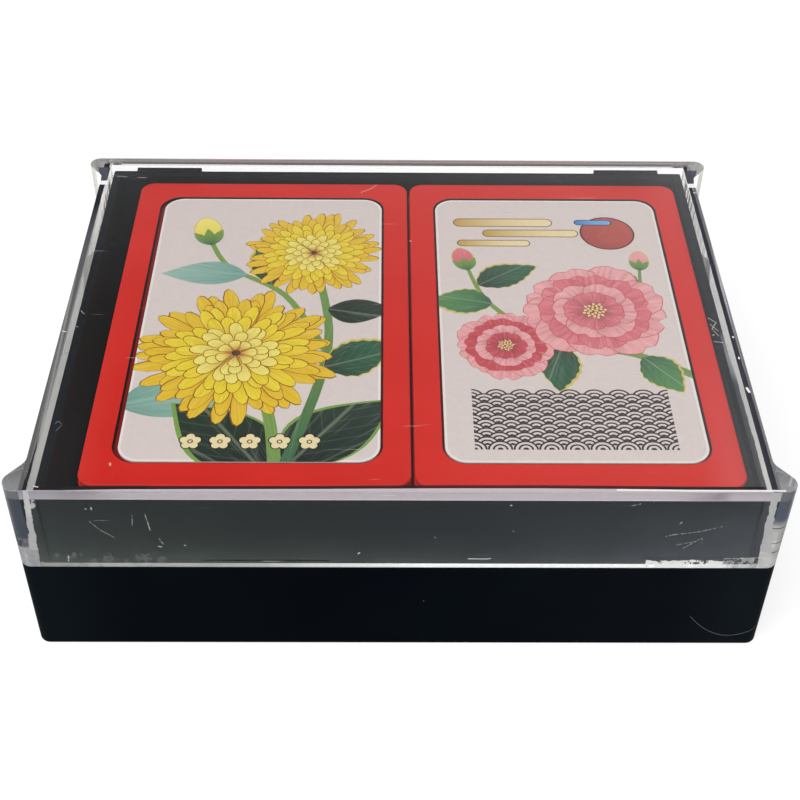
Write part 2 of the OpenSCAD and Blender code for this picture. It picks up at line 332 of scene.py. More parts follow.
def clear_plastic(name, box):
    """Clear polystyrene: painted light and shade on its edges and ears, haze low on the front, scratches,
    lint and dust.

    Distances are in millimetres: drop and height from the cover's top and foot, and reach from its middle.
    Where an edge wavers a little less it is measured by out, and where it frays by frayed."""
    f = Finish(name)
    here = f.coordinates()
    across, along, upward = (axis * (1 / MM) for axis in f.axes(here))
    foot, top, front, back = (v / MM for v in (box[0][2], box[1][2], box[0][1], box[1][1]))
    drop, height, from_front = top - upward, upward - foot, along - front
    width, depth = across / ACROSS + 0.5, along / ALONG + 0.5
    waver = (f.noise(here, 420, 4, 0.7) - 0.5) * 0.8
    out, reach = abs(across) + waver * 0.1, abs(across) + waver * 0.5
    right, at_ear, on_top = across > 0.0, abs(across) > 38.85, drop < 0.03
    band_depth = 1.37
    left, side, band = 1 - right, (1 - at_ear) * on_top, drop < band_depth
    on_front = along < front + 0.05
    facing = (on_front | (along < front + 1.6) * at_ear) * (drop > 0.03)
    spots = f.noise(here, 900, 4, 0.75)

    # Haze on the front
    share = f.ramp(height / 8, (0.0, 0.085), (0.16, 0.05), (0.34, 0.024), (0.63, 0.006), (1.0, 0.0))
    to_sides = f.ramp(width, (0.05, 0.012), (0.3, 0.0), (0.6, 0.0), (0.81, 0.02), (0.95, 0.042))
    share = share + to_sides * f.ramp(drop / 8, (0.2, 0.2), (0.6, 1.0))
    cloud = f.noise(here, 160, 5, 0.65)
    share = (share * f.ramp(cloud, (0.3, 0.7), (0.7, 1.3)) + 0.012) * on_front
    tone = f.ramp(width, (0.3, (0.62, 0.80, 0.66)), (0.8, (0.70, 0.76, 0.84)))

    def lay(mask, layer_share, layer_tone):
        """Lays a pale or dark layer over the ones before it, with its share of the surface and its tone."""
        nonlocal share, tone
        share = share + mask * (layer_share - share)
        tone = f.blend(mask, tone, layer_tone)

    # The sides of the top, all painted light and shade: a veil of painted reflection, pale rails of painted
    # light, dark rims of painted shade beyond them, and a painted shadow line with more painted shade at the
    # right
    lay(((reach - 31.0) / 3).clamped() * side * f.ramp(depth, (0.1, 1.0), (0.5, 0.25)), right * 0.03 + 0.015,
        (0.7, 0.72, 0.74))
    # Painted light: the pale rails
    painted_light_rail = (out > f.ramp(depth, (0.66, 0.0), (0.86, 0.4)) + right * 0.13 + 37.25) * on_top
    painted_light_rail = painted_light_rail * (out < 38.12 - right * 0.22)
    lay(painted_light_rail * left, 0.5, f.ramp(
        depth, (0.1, (0.49, 0.485, 0.46)), (0.22, (0.40, 0.395, 0.375)), (0.36, (0.31, 0.31, 0.29)),
        (0.67, (0.39, 0.39, 0.37)), (0.84, (0.88, 0.86, 0.80))))
    lay(painted_light_rail * right, f.ramp(depth, (0.03, 0.55), (0.2, 0.26), (0.5, 0.08), (0.8, 0.08), (0.88, 0.6)),
        (0.74, 0.73, 0.68))
    # Painted shade: the dark rims beyond the rails
    lay((out > 38.12) * side * left, f.ramp(depth, (0.5, 0.45), (0.66, 0.6), (0.76, 0.85), (0.83, 0.97)),
        f.ramp(depth, (0.5, (0.20, 0.195, 0.195)), (0.66, (0.13, 0.13, 0.15)), (0.76, (0.05, 0.05, 0.075)),
               (0.83, (0.008, 0.008, 0.016))))
    # Painted shade on the right's outer rim, then a painted shadow line and more painted shade inside it
    lay((out > 38.42) * side * right, 0.55, (0.24, 0.24, 0.25))
    lay(out.inside(37.9, along * -0.004 + 38.42) * side * right, 0.97, (0.022, 0.022, 0.034))
    lay(reach.inside(36.85, 37.4) * on_top * right * f.ramp(depth, (0.27, 1.0), (0.42, 0.0)), 0.9,
        (0.075, 0.08, 0.085))

    # Painted light and shade on the ears' tops, painted shade in the wedges and roots where they meet the
    # rails, a painted highlight beside the roots, and painted light and shade along the back edge
    lay(at_ear * on_top, 0.30 + right * 0.04 - (along > 0.0) * 0.12, f.ramp(
        depth, (0.0, (0.66, 0.66, 0.69)), (0.05, (0.36, 0.36, 0.37)), (0.1, (0.30, 0.30, 0.31)),
        (0.5, (0.60, 0.60, 0.61))))
    lay((reach > 38.02) * (along * -0.055 + 36.8 > reach) * on_top * left, 0.92, (0.01, 0.012, 0.016))
    lay(along.inside(25.3, 28.3) * out.inside(37.95, along * 0.3 + 31.1) * on_top, 0.82, (0.035, 0.04, 0.06))
    lay(along.inside(24.3, 25.2) * out.inside(37.85, 38.85) * on_top, 0.8, (0.92, 0.92, 0.93))
    lay(at_ear * (along > back - 3.0) * (drop > 0.03), 0.5, (0.66, 0.66, 0.60))
    lay((along > back - 1.3) * side, 0.22, (0.52, 0.50, 0.48))
    lay((along > back - 0.35) * side, 0.6, 0.17)
    lay((along > back - 0.2) * (drop < 0.25), 0.6, (0.50, 0.49, 0.47))
    lay((along > back - 0.05) * band * (drop > 0.2), 0.35, (0.62, 0.58, 0.60))

    # Painted light on the ears' fronts and in the band along the front's upper edge, painted highlights for
    # its pale rims, and painted shade for the dark line behind it
    lay(at_ear * facing, right * 0.06 + 0.10, (0.50, 0.60, 0.80))
    lay(at_ear * facing * band, 0.25, (0.60, 0.60, 0.64))
    # Painted light: the band's tone, lighter lower down
    painted_band_light = f.ramp(width, (0.05, (0.46, 0.45, 0.51)), (0.13, (0.40, 0.34, 0.40)),
                       (0.905, (0.42, 0.36, 0.42)), (0.925, (0.64, 0.60, 0.65)))
    painted_band_light = f.blend(1.0, painted_band_light, f.ramp(drop / 1.4, (0.0, 0.88), (0.9, 1.1)), "MULTIPLY")
    lay(band * (abs(across) < 38.9) * facing,
        f.ramp(width, (0.05, 0.75), (0.12, 0.5), (0.905, 0.5), (0.925, 0.8)), painted_band_light)
    lay((drop < 0.16) * on_front * (reach < 37.95), 0.85, (0.54, 0.495, 0.53))
    over_top = f.ramp(width, (0.07, 0.0), (0.145, 0.16), (0.375, 0.27), (0.56, 0.43), (0.68, 0.46),
                      (0.78, 0.40), (0.87, 0.32))
    lay(from_front.inside(over_top, over_top + 0.45) * (reach < 37.3) * on_top, 0.85, (0.012, 0.006, 0.008))
    lay((from_front < over_top) * (drop < 0.2) * (reach < 37.95) * (1 - on_front), 0.85, (0.52, 0.475, 0.50))
    lay((abs(drop - 1.31) < 0.05) * on_front * (abs(across) < 38.0), 0.45, (0.72, 0.70, 0.73))

    # Dust along the foot, and a painted highlight on the upper edge of the left ear
    lay((height + waver < 0.6) * on_front * (spots > 0.45), 0.22, (0.9, 0.9, 0.86))
    lay((height + waver * 2 < 2.3) * (across < -24.0) * (reach < 37.9) * (spots > 0.55) * on_front, 0.15,
        (0.80, 0.78, 0.72))
    lay(at_ear * facing * (drop < 0.2) * left, 0.4, (0.85, 0.85, 0.87))

    # The front's sides: dark pockets of painted shade, pale specks along the left pocket's edge and low on
    # the ears, pale heels and strips beside the ears of painted light, and dark lines across the right ear
    inner, outer = drop * 0.045 + 37.85, drop * drop * 0.0105 + (right * 0.17 + 38.45)
    frayed = reach + (spots - 0.5) * 0.6
    # Painted shade: the dark pockets
    lay(reach.inside(37.3, inner) * (drop > band_depth) * (height > 0.75) * on_front, 0.95, f.blend(
        right, f.ramp(height / 8, (0.1, (0.085, 0.095, 0.088)), (0.6, (0.040, 0.048, 0.048))),
        (0.068, 0.073, 0.082)))
    lay(frayed.inside(inner - 0.5, inner) * drop.inside(1.4, 5.5) * (spots > 0.56) * left * on_front, 0.5,
        (0.85, 0.86, 0.84))
    lay((drop + waver > 7.4) * at_ear * (spots > 0.52) * facing, 0.26, (0.64, 0.64, 0.62))
    # Painted light: the pale heels low on the front's sides
    painted_heel_light = ((drop + waver - 8.7 + right * 4.6) / (0.3 + right * 0.9)).clamped() * (reach > inner) * facing
    mottle = f.ramp(f.noise(here, 260, 4, 0.7), (0.35, 0.6), (0.65, 1.0))
    lay(painted_heel_light, mottle * f.ramp(drop / 12, (0.35, 0.55), (0.75, 0.80)),
        f.blend(right, (0.53, 0.52, 0.55), (0.95, 0.94, 0.92)))
    dark_lines_across = (abs(drop - 5.5) < 0.06) + (abs(drop - 7.85) < 0.06) + (abs(drop + waver - 9.3) < 0.06)
    lay((dark_lines_across * (reach > outer) * right * facing).clamped(), 0.35, 0.16)
    # Painted light: the strips beside the ears
    painted_strip_light = f.ramp(drop / 12, (0.1, (0.72, 0.71, 0.70)), (0.27, (0.78, 0.77, 0.76)),
                        (0.38, (0.63, 0.625, 0.62)))
    lay(frayed.inside(inner, outer) * (drop + waver < 9.2) * facing, 0.76,
        f.blend(right, painted_strip_light, (0.66, 0.655, 0.665)))

    # A line of painted shade low on the front, grit and a white patch at its right, and a painted highlight
    # on the edge above
    lay((abs(height - 1.1) < 0.08) * across.inside(-21.0, -7.5) * on_front, 0.8, 0.004)
    lay((height + waver < 1.6) * across.inside(34.6, 37.9) * (spots > 0.53) * on_front, 0.4, (0.9, 0.9, 0.86))
    lay((height + waver * 1.5 < 1.2) * across.inside(26.3, 34.6) * (spots > 0.44) * on_front, 0.95,
        (0.97, 0.96, 0.93))
    lay(from_front.inside(over_top - 0.25, over_top) * on_top * across.inside(22.0, 39.3), 0.75, 0.95)

    drawn_out = [f.moved(here, (110, 2600, 2600), (0.35, 0.2, turn)) for turn in (0.5, 1.9, 2.7)]
    hairs = reduce(or_, [f.ramp(f.noise(way, 1.0, 1), (0.80, 0.0), (0.83, 1.0)) for way in drawn_out])
    dust = f.specks(here, 4.5 * MM, 0.05 * MM, 0.35)
    broken = f.ramp(f.noise(here, 3500, 2), (0.4, 0.12), (0.6, 0.55))
    scratches = drawn_lines(f, across, upward, FRONT_SCRATCHES) * broken * on_front
    chips = drawn_lines(f, across, upward, FRONT_CHIPS) * on_front
    lint = drawn_lines(f, across, along, TOP_MARKS) * on_top
    share = share + scratches + chips * 0.75 + hairs * 0.2 + dust * 0.4 + lint * 0.4
    tone = f.blend((scratches + hairs + dust + chips).clamped(), tone, (0.95, 0.95, 0.93))
    tone = f.blend(lint, tone, (0.88, 0.80, 0.76))
    blur = f.noise(here, 90, 2) * 0.1 + 0.2
    return clear_over(f, on_front * band * blur, share.clamped(), tone)


def rubbed_plastic(name, box):
    """The cover's foot: clear, but rubbed white along the front, with painted shade that makes it gray toward
    the left and right ends, and dirty.
    """
    f = Finish(name)
    here = f.coordinates()
    across, along, _ = (axis * (1 / MM) for axis in f.axes(here))
    at_front = (along < box[0][1] / MM + 1.0) * (abs(across) < 38.4)
    # The rubbed face is white in the middle and darkened toward both ends by painted shade
    rubbed_white_and_painted_shade = f.ramp(across / ACROSS + 0.5, (0.04, (0.17, 0.17, 0.16)), (0.12, (0.28, 0.28, 0.27)),
                  (0.25, (0.29, 0.29, 0.28)), (0.31, (0.37, 0.37, 0.36)), (0.39, (0.64, 0.64, 0.62)),
                  (0.475, (0.80, 0.80, 0.78)), (0.53, 1.0), (0.925, (0.98, 0.98, 0.96)),
                  (0.952, (0.55, 0.55, 0.53)), (0.972, (0.32, 0.32, 0.31)))
    dirt = f.noise(f.moved(here, (1, 1, 2)), 600, 4, 0.75)
    grime = f.ramp(dirt, (0.38, (0.62, 0.62, 0.61)), (0.48, 1.05))
    ends = (abs(across - 1.5) - 29.0).clamped()
    tone = f.blend(ends, rubbed_white_and_painted_shade, f.blend(1.0, rubbed_white_and_painted_shade, grime, "MULTIPLY"))
    return clear_over(f, 0.0, at_front, tone)


def card_plastic(name, window=None):
    """Red card plastic. A title card's window has a dark line round it, and painted shade darkens its pocket.
    """
    f = Finish(name)
    here = f.coordinates()
    cloud = f.noise(here, 90, 3)
    base = f.ramp(cloud, (0.3, (0.64, 0.016, 0.009)), (0.75, (0.70, 0.022, 0.013)))
    base = f.blend(f.specks(here, 7 * MM, 0.1 * MM, 0.4) * 0.7, base, (0.75, 0.55, 0.50))
    if window is not None:
        low, high, corner = window
        beyond = []
        for axis, start, end in zip(f.axes(here), low, high):
            beyond.append(abs(axis - (start + end) / 2) - ((end - start) / 2 - corner) | 0.0)
        outside = (beyond[0] * beyond[0] + beyond[1] * beyond[1]).work("SQRT") - corner
        # Painted shade: the pocket inside the window, below the frame's face, is darkened
        base = f.blend(outside < -0.03 * MM, base, (0.20, 0.008, 0.007))
        waver = f.noise(here, 500, 2) * 0.08 * MM
        base = f.blend(abs(outside) < waver + 0.05 * MM, base, (0.010, 0.003, 0.004))
    return f.done(f.principled(
        Base_Color=base, Roughness=0.34 + cloud * 0.1, Specular_IOR_Level=0.14,
        Normal=f.bump(f.noise(here, 1500, 2), 0.003 * MM, 0.5)))


def lay_floor():
    """A pale floor that the camera sees as white, with the case's shadow on it.

    The clear plastic mirrors and bends the light of a floor that is bright and warm behind the case,
    and darker and cool in front of it."""
    f = Finish("pale_floor")
    here = f.coordinates()
    across, along, _ = f.axes(here)
    behind = f.ramp(along * 4 + 0.5, (0.38, 0.0), (0.72, 1.0), interpolation="EASE")
    to_right = f.ramp(across * 4 + 0.5, (0.30, 0.0), (0.80, 1.0), interpolation="EASE")
    camera, plastic = f.rays("Camera"), f.rays("Glossy", "Transmission")
    shiny = plastic * (FRONT_GLOW + behind * (BACK_GLOW - FRONT_GLOW) + to_right * RIGHT_GLOW)
    tint = f.blend(camera | f.ramp(along * 4 + 0.5, (0.375, 0.0), (0.40, 1.0)), COOL, WARM)
    glow = f.add("Emission", None, {
        "Color": f.blend(camera, tint, 1), "Strength": camera * FLOOR_GLOW + (1 - camera) * shiny})
    paper = f.ramp(f.noise(here, 12, 3), (0.3, 0.30), (0.7, 0.31))
    paper = f.blend(plastic, paper, f.blend(1.0, paper, 0.4, "MULTIPLY"))
    matt = f.add("BsdfDiffuse", None, {"Color": paper})
    mesh = bpy.data.meshes.new("floor")
    corners = [(x * FLOOR_REACH, y * FLOOR_REACH, 0) for x, y in ((-1, -1), (1, -1), (1, 1), (-1, 1))]
    mesh.from_pydata(corners, [], [(0, 1, 2, 3)])
    mesh.materials.append(f.done(f.add("AddShader", None, {0: matt, 1: glow})))
    floor = put("floor", mesh)
    floor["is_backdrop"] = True


def light_room():
    """White behind the object, an even room for the light, and a softly graded one for reflections."""
    f = Finish("studio", world=True)
    across, _, upward = f.axes(f.add("TexCoord", output="Generated"))
    right_side = f.ramp(across * 0.5 + 0.5, (0.42, 0.0), (0.66, 1.0), interpolation="EASE")
    low = f.ramp(upward, (0.46, 1.0), (0.68, 0.0), interpolation="EASE")
    mirrored = 0.05 + right_side * 0.30 + low * 0.24
    camera, plastic = f.rays("Camera"), f.rays("Glossy", "Transmission")
    level = camera + (1 - camera) * (plastic * mirrored + (1 - plastic) * ROOM_LIGHT)
    glow = f.add("Background", None, {"Color": (1, 1, 1, 1), "Strength": level})
    bpy.context.scene.world = f.done(glow, "OutputWorld")
    lamp = bpy.data.lights.new("soft_box", "AREA")
    lamp.shape, lamp.size, lamp.size_y = "RECTANGLE", 0.7, 0.5
    lamp.energy = LAMP_POWER
    facing = (-LAMP_PLACE).to_track_quat("-Z", "Y").to_matrix().to_4x4()
    put("soft_box", lamp).matrix_world = Matrix.Translation(LAMP_PLACE) @ facing


def finished_copy(name, node, edge, look, body):
    """A copy of a CAD solid as one clean skin, with its sharp edges broken."""
    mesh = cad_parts[node].data.copy()
    mesh.name = name
    if "custom_normal" in mesh.attributes:
        mesh.attributes.remove(mesh.attributes["custom_normal"])
    skin = bmesh.new()
    skin.from_mesh(mesh)
    bmesh.ops.remove_doubles(skin, verts=skin.verts, dist=0.0005 * MM)
    bmesh.ops.dissolve_limit(skin, angle_limit=math.radians(0.3), verts=skin.verts, edges=skin.edges)
    skin.to_mesh(mesh)
    skin.free()
    mesh.materials.clear()
    mesh.materials.append(look)
    mesh.shade_smooth()
    piece = put(name, mesh)
    soften = piece.modifiers.new("broken_edges", "BEVEL")
    soften.width, soften.segments = edge, 3
    soften.limit_method, soften.angle_limit = "ANGLE", math.radians(35)
    soften.harden_normals = True
    soften.miter_outer = "MITER_ARC"
    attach(piece, body)
    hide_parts(node)
    return piece


def shade(red, green, blue):
    """A colour written from 0 to 255 as the eye sees it, in the linear values that Blender mixes."""
    return tuple(
        c / 12.92 if c <= 0.04045 else ((c + 0.055) / 1.055) ** 2.4
        for c in (red / 255, green / 255, blue / 255)
    )


def ahead(place, angle, along, across=0.0):
    """The place that lies so far along a direction, and so far to the left of it."""
    c, s = math.cos(angle), math.sin(angle)
    return place[0] + c * along - s * across, place[1] + s * along + c * across


def around(count, turn=0.0, shift=0.0, draw=None, sway=0.0):
    """Angles evenly round a circle, each with a random sway where one is given."""
    for i in range(count):
        place = i + shift + (draw.uniform(-sway, sway) if draw else 0.0)
        yield turn + 2 * math.pi * place / count


def rounded_outline(width, length, corner, steps=14):
    points = []
    for quarter, (x, y) in enumerate(((1, 1), (-1, 1), (-1, -1), (1, -1))):
        centre = (x * (width / 2 - corner), y * (length / 2 - corner))
        points += [ahead(centre, math.pi / 2 * (quarter + step / steps), corner) for step in range(steps + 1)]
    return points


def smooth_line(points, steps=7):
    """A smooth line through the points."""
    ends = [points[0], *points, points[-1]]
    line = []
    for a, b, c, d in zip(ends, ends[1:], ends[2:], ends[3:]):
        for step in range(steps):
            t = step / steps
            line.append(tuple(
                0.5 * (2 * b[k] + (c[k] - a[k]) * t + (2 * a[k] - 5 * b[k] + 4 * c[k] - d[k]) * t * t
                       + (3 * b[k] - a[k] - 3 * c[k] + d[k]) * t ** 3)
                for k in (0, 1)))
    return [*line, points[-1]]


def blade_outline(length, bend, halves, end):
    """A petal or leaf from its half widths on the way from foot to tip, along a bent middle line."""
    right, left = (
        [(t * length, bend * length * t * t + side * half) for t, half in halves] for side in (-1, 1))
    return [(0.0, 0.0), *right, end, *left[::-1]]


PRINT_CORNER = 2.4
STREAK_STEP = 0.37


class Print:
    """Inked shapes laid over each other on a sheet of paper, in millimetres from its middle."""

    def __init__(self, width, length, ground, rim, rim_width):
        self.shapes = []
        for inset, tone in ((0.0, rim), (rim_width, ground)):
            self.lay(rounded_outline(width - 2 * inset, length - 2 * inset, PRINT_CORNER - inset), tone)

    def lay(self, outline, root, tip=None, foot=(0, 0), angle=0.0, size=(1.0, 1.0), streak=0.0, vein=0.0):
        """Adds a shape. Its ink goes from root to tip along the angle, over its size."""
        turning = sum(a[0] * b[1] - b[0] * a[1] for a, b in zip(outline, [*outline[1:], outline[0]]))
        if turning < 0:
            outline = outline[::-1]
        axis = (math.cos(angle), math.sin(angle))
        self.shapes.append((outline, (*root, streak), (*(tip or root), vein), foot, axis, size))

    def blade(self, foot, angle, size, outline, wide, root, tip, edge, streak, vein):
        """Lays a petal or leaf, over a wider one in the edge's colour where one is given."""
        if edge is not None:
            self.lay([ahead(foot, angle, x, y) for x, y in wide], edge)
        self.lay([ahead(foot, angle, x, y) for x, y in outline], root, tip, foot, angle, size, streak, vein)

    def petal(self, foot, angle, length, width, root, tip, blunt=0.6, lean=1.5, bend=0.0, ripple=0.0,
              notch=0.0, steps=9, streak=0.35, edge=None, edge_width=0.12):
        """A petal, widest further from its foot the more it leans."""
        halves = []
        for step in range(1, steps):
            t = (1 - math.cos(math.pi * step / steps)) / 2
            half = width / 2 * math.sin(math.pi * t ** lean) ** blunt
            halves.append((t, half * (1 + ripple * math.sin(step * 2.4 + angle * 5))))
        outline = blade_outline(length, bend, halves, ((1 - notch) * length, bend * length))
        middle = (length / 2, bend * length / 4)
        grow = (1 + 2 * edge_width / length, 1 + 2 * edge_width / width)
        wide = [tuple(m + (v - m) * g for v, m, g in zip(point, middle, grow)) for point in outline]
        self.blade(foot, angle, (length, width / 2), outline, wide, root, tip, edge, streak, 0.0)

    def leaf(self, foot, angle, length, width, root, tip, bend=0.0, tooth=0.0, edge=None, steps=14):
        """A pointed leaf, toothed along its edge where a tooth is given."""
        halves = []
        for step in range(1, steps):
            t = step / steps
            halves.append((t, width / 2 * math.sin(math.pi * t ** 0.8) + (tooth if step % 2 else 0.0)))
        outline = blade_outline(length, bend, halves, (length, bend * length))
        wide = [(x * 1.03, y * 1.09 + 0.08) for x, y in outline]
        self.blade(foot, angle, (length, width / 2), outline, wide, root, tip, edge, 0.5, 1.0)

    def stem(self, points, start, end, root, tip=None):
        """A stem or branch along the points, tapering from start to end."""
        line = smooth_line(points)
        left, right = [], []
        for i, point in enumerate(line):
            before, after = line[max(i - 1, 0)], line[min(i + 1, len(line) - 1)]
            way = math.atan2(after[1] - before[1], after[0] - before[0])
            half = (start + (end - start) * i / (len(line) - 1)) / 2
            left.append(ahead(point, way, 0, half))
            right.append(ahead(point, way, 0, -half))
        way = math.atan2(points[-1][1] - points[0][1], points[-1][0] - points[0][0])
        size = (math.dist(points[0], points[-1]), max(start, end))
        self.lay(right + left[::-1], root, tip, points[0], way, size, 0.4)

    def oval(self, centre, wide, high, root, tip=None, angle=0.0, steps=20, streak=0.0):
        turns = (2 * math.pi * step / steps for step in range(steps))
        points = [ahead(centre, angle, wide / 2 * math.cos(t), high / 2 * math.sin(t)) for t in turns]
        self.lay(points, root, tip, ahead(centre, angle, -wide / 2), angle, (wide, high / 2), streak)

    def dot(self, centre, across, root, tip=None, steps=20):
        self.oval(centre, across, across, root, tip, steps=steps)

    def sheet(self, name, centre, low, high, look, body, slot):
        """The print as one closed thin sheet, with the inks as attributes of its face corners."""
        places, outlines = [], []
        for outline, *_ in self.shapes:
            outlines.append(list(range(len(places), len(places) + len(outline))))
            places += [Vector(point) for point in outline]
        points, _, triangles, _, _, owners = delaunay_2d_cdt(places, [], outlines, 1, 1e-5, True)
        kept = [(triangle, max(owner)) for triangle, owner in zip(triangles, owners) if 0 in owner]
        used = sorted({i for triangle, _ in kept for i in triangle})
        number = {old: new for new, old in enumerate(used)}
        faces = [[number[i] for i in triangle] for triangle, _ in kept]
        edge_of = {(a, b) for face in faces for a, b in zip(face, face[1:] + face[:1])}
        follows = {a: b for a, b in edge_of if (b, a) not in edge_of}
        ring = [next(iter(follows))]
        while follows[ring[-1]] != ring[0]:
            ring.append(follows[ring[-1]])
        under = {point: len(used) + i for i, point in enumerate(ring)}
        corners = [(centre[0] + points[i][0] * MM, centre[1] + points[i][1] * MM, high) for i in used]
        corners += [(corners[i][0], corners[i][1], low) for i in ring]
        walls = [[b, a, under[a], under[b]] for a, b in zip(ring, ring[1:] + ring[:1])]
        mesh = bpy.data.meshes.new(name)
        mesh.from_pydata(corners, [], faces + walls + [[under[i] for i in reversed(ring)]])
        kinds = {"ink_root": "FLOAT_COLOR", "ink_tip": "FLOAT_COLOR", "along": "FLOAT_VECTOR"}
        for attribute, kind in kinds.items():
            mesh.attributes.new(attribute, kind, "CORNER")
        roots, tips, ways = (mesh.attributes[attribute].data for attribute in kinds)
        for index, face in enumerate(mesh.polygons):
            own = kept[index][1] if index < len(kept) else 0
            _, root, tip, foot, axis, size = self.shapes[own]
            for loop in face.loop_indices:
                corner = corners[mesh.loops[loop].vertex_index]
                x, y = ((corner[k] - centre[k]) / MM - foot[k] for k in (0, 1))
                roots[loop].color, tips[loop].color = root, tip
                ways[loop].vector = ((x * axis[0] + y * axis[1]) / size[0],
                                     (y * axis[0] - x * axis[1]) / size[1], own * STREAK_STEP)
        mesh.materials.append(look)
        piece = put(name, mesh)
        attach(piece, body)
        return piece


def printed_ink():
    """Ink on satin paper: each shape runs from its root colour to its tip, with streaks and veins."""
    f = Finish("printed_ink")
    root = f.add("Attribute", {"attribute_name": "ink_root"}, output="Color")
    tip = f.add("Attribute", {"attribute_name": "ink_tip"}, output="Color")
    streaky, veined = f.other(root, "Alpha"), f.other(tip, "Alpha")
    far, aside, own = f.axes(f.add("Attribute", {"attribute_name": "along"}, output="Vector"))
    fan = aside / (abs(far) + 0.3)
    lines = f.noise(f.joined(far * 1.6, fan * 7.0, own), 1.0, 3, 0.6)
    reach = (far + (lines - 0.5) * 0.5 * streaky).clamped()
    colour = f.blend(1 - (1 - reach) ** 1.8, root, tip)
    dark = f.ramp(lines, (0.28, 1.0), (0.5, 0.0)) * streaky
    colour = f.blend(dark * 0.55, colour, f.blend(1.0, colour, (0.55, 0.38, 0.35), "MULTIPLY"))
    light = f.ramp(lines, (0.55, 0.0), (0.75, 1.0)) * streaky
    colour = f.blend(light * 0.3, colour, f.blend(1.0, colour, (0.9, 0.85, 0.75), "SCREEN"))
    rib = f.ramp(abs(aside), (0.02, 1.0), (0.07, 0.0))
    side_rib = f.ramp((far * 7.0 - abs(aside) * 2.2).work("FRACT"), (0.0, 1.0), (0.10, 0.0))
    ribs = (rib | side_rib * 0.6) * veined
    colour = f.blend(ribs * 0.35, colour, f.blend(1.0, colour, (0.35, 0.42, 0.25), "SCREEN"))
    here = f.coordinates()
    grain = f.ramp(f.noise(here, 1800, 2), (0.3, 0.95), (0.7, 1.0))
    colour = f.blend(1.0, colour, grain, "MULTIPLY")
    rough = 0.33 + f.noise(here, 200, 3) * 0.12
    return f.done(f.principled(Base_Color=colour, Roughness=rough, Specular_IOR_Level=0.35))


# Inks of the two title prints
PANEL, PANEL_RIM = shade(223, 209, 202), shade(238, 231, 224)
YELLOW, DEEP_YELLOW, LEMON = shade(242, 216, 48), shade(236, 196, 42), shade(246, 232, 116)
ORANGE_BROWN, OLIVE_DARK, SEED_BROWN = shade(184, 92, 30), shade(50, 48, 40), shade(104, 70, 30)
DARK_LEAF, NIGHT_LEAF, TEAL_LEAF = shade(38, 58, 46), shade(24, 34, 32), shade(112, 160, 144)
LEAF, FRESH_LEAF, SOFT_LEAF = shade(46, 98, 70), shade(124, 160, 72), shade(88, 140, 84)
STEM_GREEN, LEAF_GOLD, PALE_TEAL = shade(116, 152, 80), shade(214, 190, 96), shade(150, 186, 172)
PINK, DEEP_PINK, MAROON = shade(226, 122, 130), shade(206, 78, 88), shade(118, 36, 50)
BLUSH, CREAM, GOLD = shade(240, 170, 170), shade(240, 222, 170), shade(196, 156, 72)
GOLD_BROWN, BRICK, BLUE = shade(120, 84, 30), shade(172, 66, 58), shade(60, 120, 190)
INK_BLACK, BARK = shade(28, 26, 30), shade(92, 62, 48)

# More inks, for the playing cards
CARD_PAPER, CARD_RIM = shade(236, 230, 216), shade(246, 242, 232)
RED_INK, SOFT_RED, RUST = shade(186, 40, 40), shade(214, 92, 84), shade(150, 70, 40)
PURPLE, LILAC, SKY = shade(92, 60, 122), shade(168, 140, 190), shade(120, 150, 176)
SUN_YELLOW, MOON = shade(236, 196, 70), shade(248, 240, 216)

# A playing card's printed window, the edge that its pictures reach, and the directions up and down it
WINDOW_WIDTH, WINDOW_LENGTH = 28.5, 48.4
EDGE_X, EDGE_Y = 14.2, 24.2
UP, DOWN = 1.57, -1.57


def chrysanthemum(art, centre, radius, seed):
    """A full chrysanthemum: rings of narrow petals, each shorter than the last, closing over the middle."""
    draw = random.Random(seed)
    rings = (
        (27, 1.0, 0.155, DEEP_YELLOW), (25, 0.87, 0.15, DEEP_YELLOW), (22, 0.73, 0.145, YELLOW),
        (19, 0.59, 0.14, YELLOW), (15, 0.45, 0.135, LEMON), (11, 0.32, 0.125, LEMON), (7, 0.2, 0.115, LEMON))
    for ring, (count, reach, wide, tip) in enumerate(rings):
        for angle in around(count, shift=0.5 * ring, draw=draw, sway=0.2):
            length = radius * (reach * draw.uniform(0.94, 1.05) - 0.03)
            art.petal(ahead(centre, angle, radius * 0.03), angle, length, radius * wide, ORANGE_BROWN, tip,
                      blunt=0.5, lean=2.6, bend=draw.uniform(-0.12, 0.12), steps=8, streak=0.6,
                      edge=shade(150, 92, 22), edge_width=radius * 0.009)
    art.dot(centre, radius * 0.09, OLIVE_DARK, SEED_BROWN, 10)


def peony(art, centre, radius, turn, seed, tip=PINK):
    """A full peony: four rings of broad ruffled petals round a gold heart."""
    draw = random.Random(seed)
    rings = ((9, 1.0, 0.80), (8, 0.80, 0.70), (6, 0.60, 0.60), (5, 0.40, 0.46))
    for ring, (count, reach, wide) in enumerate(rings):
        for angle in around(count, turn, 0.5 * ring, draw, 0.12):
            length = radius * reach * draw.uniform(0.94, 1.04)
            art.petal(ahead(centre, angle, radius * 0.02), angle, length, radius * wide, MAROON,
                      tip if ring % 2 else BLUSH, blunt=0.45, ripple=0.035, notch=draw.uniform(0.03, 0.12),
                      steps=14, streak=0.8, edge=DEEP_PINK, edge_width=radius * 0.011)
    seeds = 26
    for i in range(seeds):
        angle = 2.39996 * i
        art.oval(ahead(centre, angle, radius * 0.16 * math.sqrt((i + 0.5) / seeds)), radius * 0.055,
                 radius * 0.04, shade(240, 206, 90), CREAM, angle, 7)


